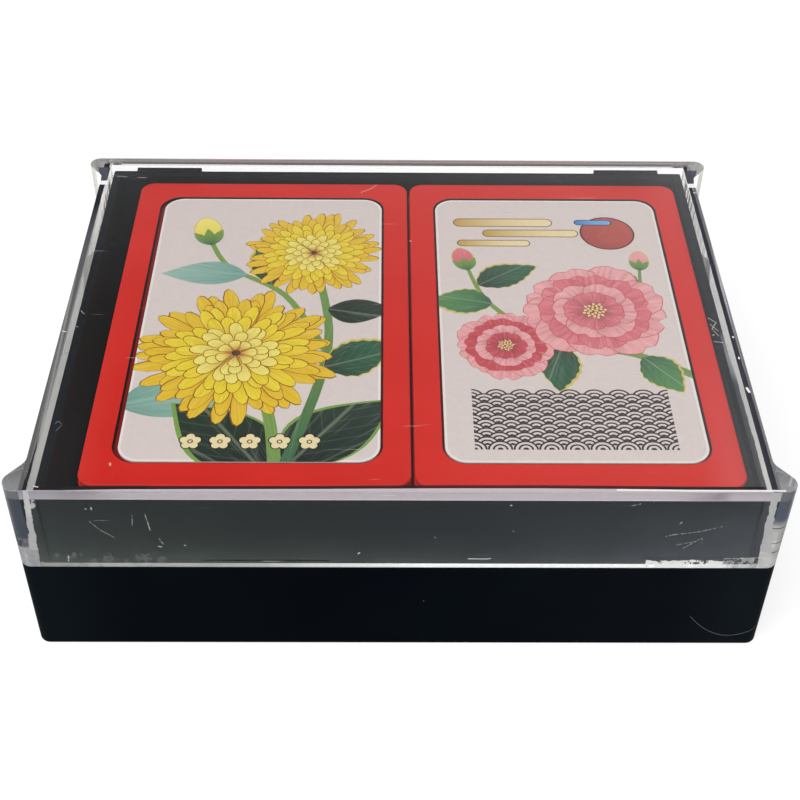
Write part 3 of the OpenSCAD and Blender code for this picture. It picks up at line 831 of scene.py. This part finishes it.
def bud(art, foot, angle, length, root, tip):
    art.petal(foot, angle, length, length * 0.62, root, tip, lean=1.1, streak=0.4, edge=LEAF_GOLD)
    for turn in (-0.55, 0.55, 0.0):
        art.petal(ahead(foot, angle, -length * 0.1), angle + turn, length * 0.66, length * 0.26,
                  LEAF, FRESH_LEAF, blunt=0.9, lean=0.9, streak=0.4)


def wave_band(art, left, right, bottom, rows, radius, ground, ink):
    """Rows of overlapping fans, the traditional pattern of waves."""
    steps = 10
    for row in reversed(range(rows)):
        shift = radius if row % 2 else 0.0
        columns = round((right - left) / (2 * radius))
        for column in range(columns + (0 if row % 2 else 1)):
            foot = (left + shift + 2 * radius * column, bottom + row * radius / 2)
            for share, tone in ((1.0, ink), (0.84, ground), (0.62, ink), (0.46, ground), (0.24, ink)):
                fan = [ahead(foot, math.pi * i / steps, radius * share) for i in range(steps + 1)]
                fan = [(min(max(x, left), right), y) for x, y in fan]
                art.lay([p for i, p in enumerate(fan) if i == 0 or math.dist(p, fan[i - 1]) > 1e-4], tone)


def crest(art, centre, radius, ink, line):
    """A small round blossom crest with an outline."""
    for across, tone in ((0.98, line), (0.76, ink)):
        for angle in around(5, math.pi / 2):
            art.dot(ahead(centre, angle, radius * 0.56), radius * across, tone, steps=14)
    art.dot(centre, radius * 0.5, line, steps=12)
    art.dot(centre, radius * 0.3, ink, steps=10)


def mist(art, x, y, wide, high, line, tone, end):
    """A bar of mist with round ends and an outline."""
    for grow, root, tip in ((0.28, line, None), (0.0, tone, end)):
        bar = rounded_outline(wide + grow, high + grow, (high + grow) / 2 - 0.001, 6)
        art.lay([(x + px, y + py) for px, py in bar], root, tip, (x - wide / 2, y), 0.0, (wide, high / 2))


def yellow_title(width, length):
    """Yellow chrysanthemums among dark and sea-green leaves."""
    art = Print(width, length, PANEL, PANEL_RIM, 0.28)
    art.leaf((-15, -15.5), 0.3, 15, 7, TEAL_LEAF, PALE_TEAL, -0.08)
    art.leaf((2, -26), 2.2, 15, 8.5, NIGHT_LEAF, DARK_LEAF, 0.15, edge=FRESH_LEAF)
    art.leaf((4, -25), 0.95, 15, 8, NIGHT_LEAF, DARK_LEAF, -0.2, edge=FRESH_LEAF)
    art.stem([(7.6, -6), (2.5, 4.0), (-4.6, 9.5), (-7.4, 14.8)], 0.9, 0.6, STEM_GREEN, FRESH_LEAF)
    art.stem([(3.0, -26), (1.5, -16), (-2.0, -8)], 1.5, 1.1, STEM_GREEN, FRESH_LEAF)
    art.stem([(3.5, -26), (7.0, -12), (7.9, -2), (6, 10)], 1.3, 0.9, LEAF, STEM_GREEN)
    art.leaf((7.5, -9), 0.35, 9, 5.5, DARK_LEAF, LEAF, 0.15, 0.22, LEAF_GOLD)
    art.leaf((-2.4, 8.0), 3.0, 10.5, 4.6, TEAL_LEAF, PALE_TEAL, 0.12)
    art.leaf((0.6, 6.0), 1.55, 9, 4.4, DARK_LEAF, LEAF, 0.2, 0.2, LEAF_GOLD)
    art.leaf((7.6, 1.5), -0.2, 8, 4.6, NIGHT_LEAF, DARK_LEAF, 0.2)
    bud(art, (-7.4, 14.6), 1.8, 5.4, DEEP_YELLOW, LEMON)
    chrysanthemum(art, (5.6, 12.6), 8.4, 11)
    chrysanthemum(art, (-2.6, -6.6), 11.6, 4)
    for i in range(5):
        crest(art, (-6.4 + 3.2 * i, -21.1), 1.25, CREAM, INK_BLACK)
    return art


def pink_title(width, length):
    """Pink peonies under a red sun and bars of golden mist, over a band of waves."""
    art = Print(width, length, PANEL, PANEL_RIM, 0.28)
    art.dot((7.6, 17.0), 7.0, shade(70, 24, 28), steps=30)
    art.oval((7.6, 17.0), 6.6, 6.6, BRICK, shade(190, 84, 74), 0.8, 30, 0.3)
    for x, y, wide, high in ((-5.6, 19.2, 12.5, 1.5), (-2.2, 16.9, 12.0, 1.3), (-7.0, 14.8, 9.0, 1.1)):
        mist(art, x, y, wide, high, GOLD_BROWN, GOLD, CREAM)
    mist(art, 6.0, 19.3, 4.6, 0.9, INK_BLACK, BLUE, shade(120, 176, 226))
    main_stem = [(15, -10.5), (8, -6.5), (-1, -4.5), (-8, 2.5), (-10.5, 9.5)]
    art.stem(main_stem, 1.2, 0.45, STEM_GREEN, FRESH_LEAF)
    art.stem([(5.0, -5.4), (9.6, 3.0), (10.8, 9.6)], 0.8, 0.35, LEAF, STEM_GREEN)
    art.leaf((10.4, 6.0), 2.5, 6.5, 3.4, LEAF, SOFT_LEAF, 0.1, 0.16, LEAF_GOLD)
    art.leaf((-9.4, 6.2), 0.6, 8.2, 4.2, DARK_LEAF, LEAF, -0.12, 0.18, LEAF_GOLD)
    art.leaf((-7.8, 2.6), 2.9, 7.5, 4.4, LEAF, SOFT_LEAF, 0.15, 0.18, LEAF_GOLD)
    art.leaf((0.0, -4.8), -1.9, 8.0, 4.8, DARK_LEAF, LEAF, 0.2, 0.2, LEAF_GOLD)
    art.leaf((9.0, -7.0), -0.9, 7.0, 4.4, LEAF, SOFT_LEAF, -0.1, 0.18, LEAF_GOLD)
    bud(art, (10.8, 9.6), 1.5, 3.6, PINK, BLUSH)
    bud(art, (-10.5, 9.6), 1.8, 4.2, DEEP_PINK, PINK)
    peony(art, (-6.6, -5.0), 5.8, 0.5, 5, DEEP_PINK)
    peony(art, (4.4, 1.4), 8.6, 1.2, 8)
    wave_band(art, -11.0, 11.0, -22.2, 13, 1.375, PANEL, INK_BLACK)
    return art


def ribbon(art, place, ink, light):
    """A paper ribbon tied across the plant, with a light edge and a cut end."""
    x, y = place
    side = [(x + 0.5 * math.sin(t / 3.0), y + 9 - t * 1.5) for t in range(13)]
    for grow, tone in ((0.35, light), (0.0, ink)):
        left, right = (
            [(px + way * (2.1 + grow), py + (grow if i == 0 else 0)) for i, (px, py) in enumerate(side)]
            for way in (-1, 1))
        art.lay([*left, (side[-1][0], side[-1][1] + 1.6), *right[::-1]], tone)


def blossom(art, centre, radius, tip, root, turn, notch=0.0):
    """A flat blossom of five broad petals round a small heart."""
    for angle in around(5, turn):
        art.petal(ahead(centre, angle, radius * 0.08), angle, radius, radius * 1.05, root, tip, blunt=0.55,
                  notch=notch, steps=8, streak=0.4, edge=INK_BLACK, edge_width=radius * 0.035)
    for angle in around(5, turn, 0.5):
        art.dot(ahead(centre, angle, radius * 0.32), radius * 0.13, SUN_YELLOW, steps=6)
    art.dot(centre, radius * 0.3, SUN_YELLOW, steps=9)


def bird(art, place, size, back, belly, turn):
    """A small bird in flight: a tail, a body, two wings and a beak."""
    art.petal(ahead(place, turn, -size * 0.1), turn + math.pi, size * 0.9, size * 0.32, back, belly, steps=6)
    art.petal(ahead(place, turn, -size * 0.5), turn, size * 1.25, size * 0.5, belly, back, blunt=0.8, steps=8,
              edge=INK_BLACK, edge_width=0.08)
    for way in (1.15, -1.3):
        art.petal(ahead(place, turn, size * 0.1), turn + way + 0.5, size * 0.95, size * 0.34, back, INK_BLACK,
                  blunt=0.8, steps=7, streak=0.7)
    art.petal(ahead(place, turn, size * 0.7), turn, size * 0.22, size * 0.1, SUN_YELLOW, SUN_YELLOW, steps=4)


def disc(art, centre, radius, root, tip=None):
    """A sun or moon with an outline."""
    art.dot(centre, 2 * radius + 0.3, INK_BLACK, steps=26)
    art.oval(centre, 2 * radius, 2 * radius, root, tip, 0.8, 26, 0.2)


def branch(art, start, end, *points):
    art.stem(points, start, end, INK_BLACK, BARK)


# Each of the next functions draws one suit's plant, with something more on its fourth card


def pine(art, number, draw):
    branch(art, 2.6, 1.4, (-15, -20 + number), (-4, -12), (3, -10), (15, -4))
    if number == 4:
        disc(art, (4.5, 13), 5.6, RED_INK, SOFT_RED)
    tufts = ((-6, -4), (5, 1), (-9, 7), (9, -13), (-5, -18), (0, 12))
    for place in tufts[:3 + number % 3 + (number == 1)]:
        for i in range(15):
            angle = math.pi * (0.02 + 0.96 * i / 14) + draw.uniform(-0.04, 0.04)
            art.petal(place, angle, 6.4 * draw.uniform(0.9, 1.05), 0.85, INK_BLACK, DARK_LEAF, 0.4, steps=4)
        art.oval(place, 2.4, 1.4, RUST, RED_INK, steps=8)


def plum(art, number, draw):
    branch(art, 3.0, 0.8, (-13, -24), (-7, -12), (3, -4), (1, 8), (8, 20))
    branch(art, 1.4, 0.5, (2, -5), (9, -1), (12, 7))
    branch(art, 1.6, 0.5, (-6, -11), (-10, -2), (-8, 8))
    if number == 4:
        bird(art, (-4, 16), 6.0, LEAF, FRESH_LEAF, -0.3)
    for place in ((-8, 3), (3, 9), (10, 4), (-2, -6), (7, -8), (5, 18))[:4 + number % 3]:
        blossom(art, place, 2.7 + draw.uniform(-0.3, 0.3), SOFT_RED, RED_INK, draw.uniform(0, 1))
    for place in ((-9.5, 9), (11, 10), (0.5, 13)):
        art.dot(place, 1.5, RED_INK, SOFT_RED, 9)


def cherry(art, number, draw):
    branch(art, 2.2, 0.9, (14, 22), (5, 14), (-3, 16), (-13, 8))
    branch(art, 1.3, 0.5, (5, 14), (2, 4), (-5, -3))
    places = ((-8, 12), (1, 18), (8, 10), (-2, 6), (5, 1), (-9, 2), (10, 18), (-4, -5))
    for place in places[:5 + number % 4]:
        blossom(art, place, 3.1 + draw.uniform(-0.3, 0.3), BLUSH, DEEP_PINK, draw.uniform(0, 1), 0.16)
    for _ in range(5):
        place = (draw.uniform(-11, 11), draw.uniform(-20, -9))
        art.petal(place, draw.uniform(0, 6), 1.5, 1.0, PINK, BLUSH, steps=5)
    if number == 4:
        for i in range(8):
            x = -12.6 + 3.6 * i
            tops = [-10 - 1.6 * math.sin(math.pi * k / 7) for k in (i, i + 1)]
            drape = ((x, tops[0]), (x, -24), (x + 3.6, -24), (x + 3.6, tops[1]))
            art.lay([(min(px, 14.0), py) for px, py in drape], (RED_INK, MOON, PURPLE, MOON)[i % 4],
                    (SOFT_RED, CARD_PAPER, LILAC, CARD_PAPER)[i % 4], (x, -24), math.pi / 2, (12, 2))


def wisteria(art, number, draw):
    branch(art, 1.6, 1.0, (-14, 19), (-3, 22), (6, 18), (14, 21))
    for i, x in enumerate((-9, -2.5, 4, 10)[:3 + number % 2]):
        length = 15 + 5 * ((i + number) % 3)
        for k in range(length // 2 * 2):
            wide = 1.5 * (1 - k / (length + 3)) + 0.4
            for way in (-1, 1):
                art.petal((x, 19 - k * 1.05), -math.pi / 2 + way * 1.0, wide * 1.5, wide,
                          PURPLE if k % 3 else INK_BLACK, LILAC, steps=4)
    for x, y, angle in ((-5, 20, -0.6), (1, 20, -2.4), (8, 19, -0.7), (-11, 19, -2.2)):
        art.leaf((x, y), angle, 6.5, 2.2, DARK_LEAF, LEAF, steps=6)
    if number == 4:
        disc(art, (4.0, -13.5), 5.0, RED_INK)
        art.dot((6.0, -12.2), 8.4, CARD_PAPER, steps=22)
        bird(art, (-4, -13), 6.4, INK_BLACK, SUN_YELLOW, 0.2)


def iris(art, number, draw):
    for x in range(-12, 13, 3):
        art.petal((x + draw.uniform(-1, 1), -24), math.pi / 2 + draw.uniform(-0.22, 0.22),
                  draw.uniform(17, 27), 1.9, NIGHT_LEAF, LEAF, lean=0.7, steps=7, streak=0.5)
    for x, y in ((-7, 6), (5, 11), (9, -1), (-2, -4))[:2 + number % 3]:
        art.stem([(x * 0.7, -24), (x, y)], 0.8, 0.6, LEAF, STEM_GREEN)
        for way, reach in ((0.15, 4.0), (2.99, 4.0), (DOWN, 4.6), (1.1, 4.0), (2.04, 4.0)):
            art.petal((x, y), way, reach, 3.0, INK_BLACK, PURPLE if way < 2.5 else LILAC, lean=1.9,
                      ripple=0.05, steps=8, streak=0.7, edge=INK_BLACK)
        art.petal((x, y), DOWN, 2.2, 0.7, SUN_YELLOW, MOON, steps=4)
    if number == 4:
        for i in range(4):
            x, y = -13.5 + i * 5.2, -16 + 4.2 * (i % 2)
            plank = [(x, y), (x + 6.4, y + 1.2), (x + 6.4, y + 4.2), (x, y + 3.0)]
            art.lay([(px + 0.25 * (1 if px > x else -1), py + 0.25 * (1 if py > y + 2 else -1))
                     for px, py in plank], INK_BLACK)
            art.lay(plank, RUST, SUN_YELLOW, plank[0], 0.2, (6.4, 2), 0.6)


def peony_suit(art, number, draw):
    for angle, length in ((0.6, 13), (2.5, 13), (-0.5, 12), (-2.6, 12), (UP, 12), (DOWN, 15)):
        art.leaf((0, -6), angle, length, 5.6, DARK_LEAF, LEAF, 0.12, 0.25, LEAF_GOLD)
    for place in ((-4.5, -8), (5, 2), (-6, 9))[:2 + number % 2]:
        for reach, count, wide, tip in ((5.6, 8, 4.4, SOFT_RED), (4.0, 6, 3.6, PINK), (2.5, 5, 2.6, PINK)):
            for angle in around(count, reach, 0.0, draw, 0.1):
                art.petal(place, angle, reach, wide, RED_INK, tip, notch=0.1, ripple=0.04, steps=8,
                          streak=0.7, edge=MAROON, edge_width=0.1)
        art.dot(place, 1.3, SUN_YELLOW, MOON, 9)
    if number == 4:
        for x, y, turn in ((-6, 17, 0.4), (6, 15, -0.5)):
            for way, reach in ((0.7, 3.8), (2.44, 3.8), (-0.5, 2.8), (3.64, 2.8)):
                art.petal((x, y), way + turn, reach, reach * 0.8, SUN_YELLOW, PURPLE, lean=1.7, steps=7,
                          edge=INK_BLACK)
            art.petal((x, y - 1.6), UP + turn, 3.4, 0.6, INK_BLACK, BARK, steps=4)


def clover(art, number, draw):
    if number == 4:
        disc(art, (-3.5, 10.5), 7.0, SUN_YELLOW, MOON)
        mist(art, 3.0, 5.5, 13.0, 1.3, GOLD_BROWN, GOLD, CREAM)
    for i, x in enumerate((-10, -5, 0, 5, 10)):
        top = (x + draw.uniform(-3, 3), 14 + 4 * ((i + number) % 2))
        foot, bend = (x * 0.5, -24), (x * 0.9, -4)
        art.stem([foot, bend, top], 0.6, 0.3, RED_INK, RUST)
        for k in range(7):
            share = 0.16 + 0.13 * k
            px = foot[0] + (bend[0] - foot[0]) * min(1, 2 * share)
            px += (top[0] - bend[0]) * max(0, 2 * share - 1)
            py = -24 + (top[1] + 24) * share
            tone = DARK_LEAF if k % 2 else LEAF
            for way in (UP, 0.3, 2.84):
                art.oval(ahead((px, py), way, 1.15), 2.2, 1.4, tone, FRESH_LEAF, way, 8)
            if k > 3:
                art.oval((px + 1.4, py + 1.2), 1.3, 0.9, RED_INK, PINK, 0.6, 7)


def pampas(art, number, draw):
    slope = [(EDGE_X - 28.4 * i / 16, -9 + 7.5 * math.sin(math.pi * i / 16)) for i in range(1, 16)]
    hill = [(-EDGE_X, -EDGE_Y), (EDGE_X, -EDGE_Y), (EDGE_X, -9), *slope, (-EDGE_X, -11)]
    if number == 4:
        square_sky = [(-EDGE_X, -16), (EDGE_X, -16), (EDGE_X, EDGE_Y), (-EDGE_X, EDGE_Y)]
        art.lay(square_sky, RED_INK, SOFT_RED, (0, -16), math.pi / 2, (40, 14))
        disc(art, (2, 10), 8.2, MOON)
    art.lay(hill, INK_BLACK, NIGHT_LEAF, (0, -24), UP, (22, 14), 0.3)
    if number < 4:
        for i in range(9):
            x = -12 + 3 * i
            tip = (x + draw.uniform(0, 4), draw.uniform(4, 13))
            art.stem([(x, -8 + 5 * math.sin(math.pi * i / 9)), (x, 1), tip], 0.5, 0.25, LEAF, SUN_YELLOW)
            for k in range(5):
                art.petal(ahead(tip, -2.0, k * 0.9), 0.9 - 0.35 * k, 3.2, 0.7, SUN_YELLOW, MOON, steps=4)
    if number == 3:
        for place in ((-7, 19), (0, 21), (6, 17)):
            bird(art, place, 4.4, BARK, SUN_YELLOW, 2.9)


def chrysanthemum_suit(art, number, draw):
    leaves = ((-3, -12, 0.4), (2, -14, 2.6), (0, -4, 1.0), (4, -2, -0.6), (-6, -2, 2.4), (0, -20, 1.6))
    for x, y, angle in leaves:
        art.leaf((x, y), angle, 10, 5.0, DARK_LEAF, LEAF, tooth=0.3, edge=FRESH_LEAF)
    for place in ((-5, 7), (6, 3), (-4, -12), (7, -14))[:2 + number % 3]:
        for reach, count, tip in ((5.2, 14, SUN_YELLOW), (3.5, 10, LEMON), (2.0, 7, LEMON)):
            for angle in around(count, shift=0.5 * (reach < 5)):
                art.petal(ahead(place, angle, reach * 0.12), angle, reach * 0.9, reach * 0.34, RED_INK, tip,
                          blunt=0.5, lean=2.2, steps=5, edge=RUST, edge_width=0.07)
        art.dot(place, 1.2, RUST, RED_INK, 8)
    if number == 4:
        bowl = [(-7 + 14 * i / 16, 19 - 5.5 * math.sin(math.pi * i / 16)) for i in range(17)]
        art.lay([(px, py - 0.3) for px, py in bowl], INK_BLACK)
        art.lay(bowl, RED_INK, SOFT_RED, (-7, 15), 0.2, (14, 4), 0.3)
        art.oval((0, 19), 14, 2.6, SUN_YELLOW, RED_INK)


def maple(art, number, draw):
    branch(art, 1.3, 0.6, (-13, 20), (-2, 10), (6, 8), (13, -2))
    for place in ((-7, 13), (3, 5), (8, 15), (-5, -2), (7, -7), (-6, -16), (5, -18))[:5 + number % 3]:
        turn, size = draw.uniform(0, 6.28), draw.uniform(4.2, 5.2)
        root, tip = ((RED_INK, SUN_YELLOW), (RUST, SOFT_RED), (SUN_YELLOW, RED_INK))[draw.randrange(3)]
        for way, reach in ((0, 1.0), (0.85, 0.85), (-0.85, 0.85), (1.75, 0.6), (-1.75, 0.6)):
            art.petal(place, turn + way, size * reach, size * 0.42, root, tip, blunt=0.85, lean=0.9,
                      ripple=0.10, streak=0.5, edge=INK_BLACK, edge_width=0.1)
        art.stem([place, ahead(place, turn + 3.14, size * 0.5)], 0.3, 0.2, RUST)
    if number == 4:
        for row in range(4):
            for i in range(5):
                art.oval((-12 + 6 * i + 3 * (row % 2), -23.0 + 1.7 * row), 5.6, 1.1, SKY, BLUE, 0, 10, 0.4)


def willow(art, number, draw):
    branch(art, 2.4, 1.0, (-14, 23), (-2, 21), (7, 23), (14, 20))
    for i in range(7 + number % 2):
        x = -12 + 3.6 * i
        length = draw.uniform(19, 36)
        middle = (x + draw.uniform(-1, 1), 21 - length / 2)
        end = (x + draw.uniform(-1, 1.6), 21 - length)
        art.stem([(x, 21), middle, end], 0.4, 0.25, LEAF, STEM_GREEN)
        for k in range(int(length / 2)):
            y = 20 - 2 * k
            place = (x + (end[0] - x) * (21 - y) / length, y)
            way = DOWN + (0.5 if k % 2 else -0.5)
            art.petal(place, way, 2.6, 0.7, DARK_LEAF, FRESH_LEAF if k % 3 else SUN_YELLOW, steps=4)
    if number == 4:
        foot = (1, -17)
        for i in range(6):
            start, end = math.pi * i / 6, math.pi * (i + 1) / 6
            wedge = [foot] + [ahead(foot, start + (end - start) * k / 4, 8.0) for k in range(5)]
            root, tip = (SUN_YELLOW, MOON) if i % 2 else (RED_INK, SOFT_RED)
            art.lay(wedge, root, tip, foot, (start + end) / 2, (8, 3))
        art.stem([foot, (1.5, -24)], 0.6, 0.6, INK_BLACK)
    if number == 2:
        bird(art, (2, -14), 6.4, INK_BLACK, RED_INK, 0.5)


def paulownia(art, number, draw):
    if number == 4:
        art.dot((0, 12.5), 19, GOLD_BROWN, steps=28)
        art.oval((0, 12.5), 18, 18, SUN_YELLOW, GOLD, 0.8, 28, 0.5)
        for i in range(5):
            art.petal((-1, 8), 0.5 + 0.5 * i, 9, 1.8, RED_INK, PURPLE, steps=7, streak=0.5, edge=INK_BLACK)
    for angle in (DOWN, -0.45, -2.69):
        art.leaf((0, -5), angle, 14.5, 11.5, NIGHT_LEAF, DARK_LEAF, tooth=0.3, edge=FRESH_LEAF)
    for x, high in ((0, 7), (-6, 5), (6, 5)):
        art.stem([(x * 0.5, -5), (x, -3 + high * 1.5)], 0.5, 0.4, LEAF, STEM_GREEN)
        for k in range(high):
            for way in (-1, 1):
                art.petal((x, -3 + k * 1.6), UP - way * 0.9, 2.5, 1.5, PURPLE, LILAC if number % 2 else PINK,
                          blunt=0.5, steps=6, edge=INK_BLACK, edge_width=0.06)
    if number == 1:
        band = [(-EDGE_X, -EDGE_Y), (EDGE_X, -EDGE_Y), (EDGE_X, -20.5), (-EDGE_X, -20.5)]
        art.lay(band, SUN_YELLOW, GOLD, (-EDGE_X, -22.0), 0.0, (28.4, 4.0), 0.3)


SUITS = {
    "pine": pine, "plum": plum, "cherry": cherry, "wisteria": wisteria, "iris": iris, "peony": peony_suit,
    "clover": clover, "pampas": pampas, "chrysanthemum": chrysanthemum_suit, "maple": maple,
    "willow": willow, "paulownia": paulownia,
}
NO_RIBBON = ("pampas", "paulownia")
PURPLE_RIBBON = ("peony", "chrysanthemum", "maple")


def card_print(suit, number):
    """The print of one playing card: its plant, with a ribbon on the third card of most suits."""
    art = Print(WINDOW_WIDTH, WINDOW_LENGTH, CARD_PAPER, CARD_RIM, 0.25)
    SUITS[suit](art, number, random.Random(suit + str(number)))
    if number == 3 and suit not in NO_RIBBON:
        ribbon(art, (3.5, -3), PURPLE if suit in PURPLE_RIBBON else RED_INK, MOON)
    return art


place_camera()
lay_floor()
light_room()
finished_copy("case_base_shell", "case_base", 0.12 * MM, black_plastic(), "base")

cover_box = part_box("clear_cover")
clear = clear_plastic("clear_polystyrene", cover_box)
cover = finished_copy("clear_cover_shell", "clear_cover", 0.15 * MM, clear, "cover")
cover.data.materials.append(rubbed_plastic("rubbed_polystyrene", cover_box))
for face in cover.data.polygons:
    if face.normal.z < -0.3 and face.center.z < cover_box[0][2] + 1.0 * MM:
        face.material_index = 1

# A title card's frame and the corner of its window, and where a playing card's print lies under its face
FRAME_SIDE, FRAME_END, WINDOW_CORNER = 3.1 * MM, 3.35 * MM, 2.6 * MM
PRINT_DEPTH, PRINT_THICKNESS = 0.078 * MM, 0.033 * MM

ink = printed_ink()
red = card_plastic("red_card_plastic")
for side, design in (("left", yellow_title), ("right", pink_title)):
    card, picture = side + "_title_card", side + "_title_picture"
    low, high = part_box(card)
    window = [
        (low[0] + FRAME_SIDE, low[1] + FRAME_END), (high[0] - FRAME_SIDE, high[1] - FRAME_END),
        WINDOW_CORNER,
    ]
    look = card_plastic(side + "_title_plastic", window)
    finished_copy(side + "_title_frame", card, 0.04 * MM, look, side + "_title")
    low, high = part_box(picture)
    centre = ((low[0] + high[0]) / 2, (low[1] + high[1]) / 2)
    art = design((high[0] - low[0]) / MM, (high[1] - low[1]) / MM)
    sheet = art.sheet(side + "_title_print", centre, low[2], high[2], ink, side + "_title", "picture_print")
    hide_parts(picture)
for suit in SUITS:
    for number in range(1, 5):
        node = f"{suit}_card_{number}"
        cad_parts[node].data.materials[0] = red
        low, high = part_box(node)
        centre = ((low[0] + high[0]) / 2, (low[1] + high[1]) / 2)
        card_print(suit, number).sheet(
            f"{suit}_print_{number}", centre, high[2] - PRINT_DEPTH, high[2] - PRINT_DEPTH + PRINT_THICKNESS,
            ink, f"{suit}_{number}", "picture_print")
scene = bpy.context.scene
scene.view_settings.view_transform = "Standard"
scene.cycles.max_bounces = 48
scene.cycles.glossy_bounces = 48
scene.cycles.transmission_bounces = 48
scene.cycles.transparent_max_bounces = 16

boxes = {"cad": cad_box, "visual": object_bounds()}
{name: [list(corner) for corner in box] for name, box in boxes.items()}
